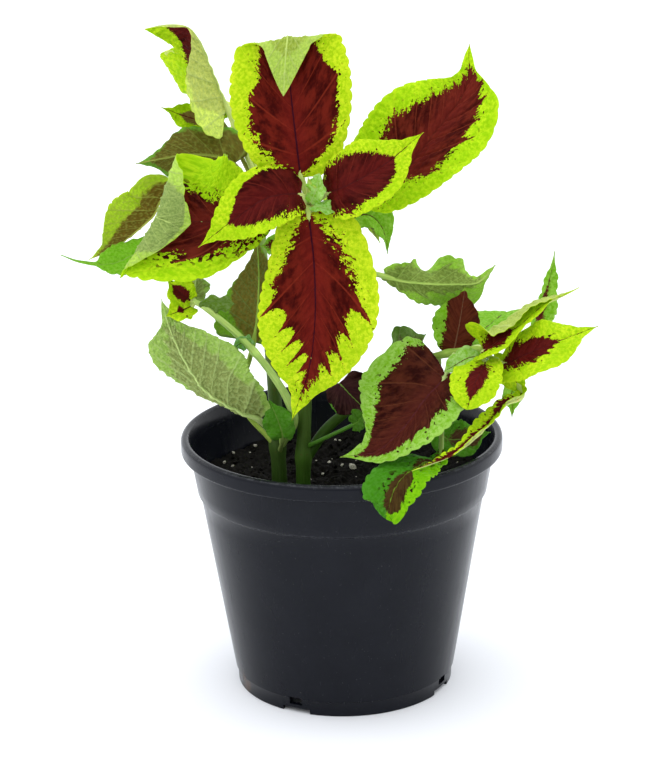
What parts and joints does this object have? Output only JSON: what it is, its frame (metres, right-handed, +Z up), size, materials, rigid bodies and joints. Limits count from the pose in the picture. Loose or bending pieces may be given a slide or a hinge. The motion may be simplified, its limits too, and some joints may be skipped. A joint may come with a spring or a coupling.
{
  "type": "potted plant",
  "caption": "Potted coleus with toothed two-coloured leaves on branching square stems, growing from soil in a tapered round nursery pot.",
  "frame": {"origin": "centre of the pot's underside, where the pot's axis meets the ground", "axes": "+Z up along the pot's axis, -Y towards the viewer, +X to the viewer's right"},
  "size_m": [0.2404, 0.1832, 0.3162],
  "materials": {
    "pot_plastic": "satin black",
    "soil": "loose dark peat with white perlite grains",
    "stem": "smooth green, soft",
    "leaf": "lime green with a dark red centre, quilted"
  },
  "bodies": {
    "root": {"pot": "pot_plastic", "soil": "soil", "stem_rear": "stem", "stem_main": "stem", "leaf_crown_upper": "leaf", "leaf_crown_lower": "leaf", "leaf_crown_left_small": "leaf", "leaf_crown_right_small": "leaf", "leaf_crown_right_large": "leaf", "leaf_crown_left_large": "leaf", "leaf_rear_left": "leaf", "leaf_rear_far_left": "leaf", "leaf_rear_upright": "leaf", "leaf_rear_small": "leaf", "leaf_rear_low": "leaf", "leaf_rear_back": "leaf", "leaf_rear_back_right": "leaf", "leaf_left_upright": "leaf", "leaf_main_right": "leaf", "leaf_main_small": "leaf", "leaf_main_hooked": "leaf", "leaf_main_back": "leaf", "leaf_lower_left": "leaf", "leaf_side_heart": "leaf", "leaf_side_red": "leaf", "leaf_side_folded": "leaf", "leaf_side_right": "leaf", "leaf_side_round": "leaf", "leaf_side_long": "leaf", "leaf_side_rim": "leaf", "leaf_side_upright": "leaf", "leaf_side_pendent": "leaf", "leaf_side_inside": "leaf", "leaf_side_back": "leaf", "leaf_middle_behind": "leaf", "leaf_middle_shaded": "leaf"}
  },
  "joints": []
}
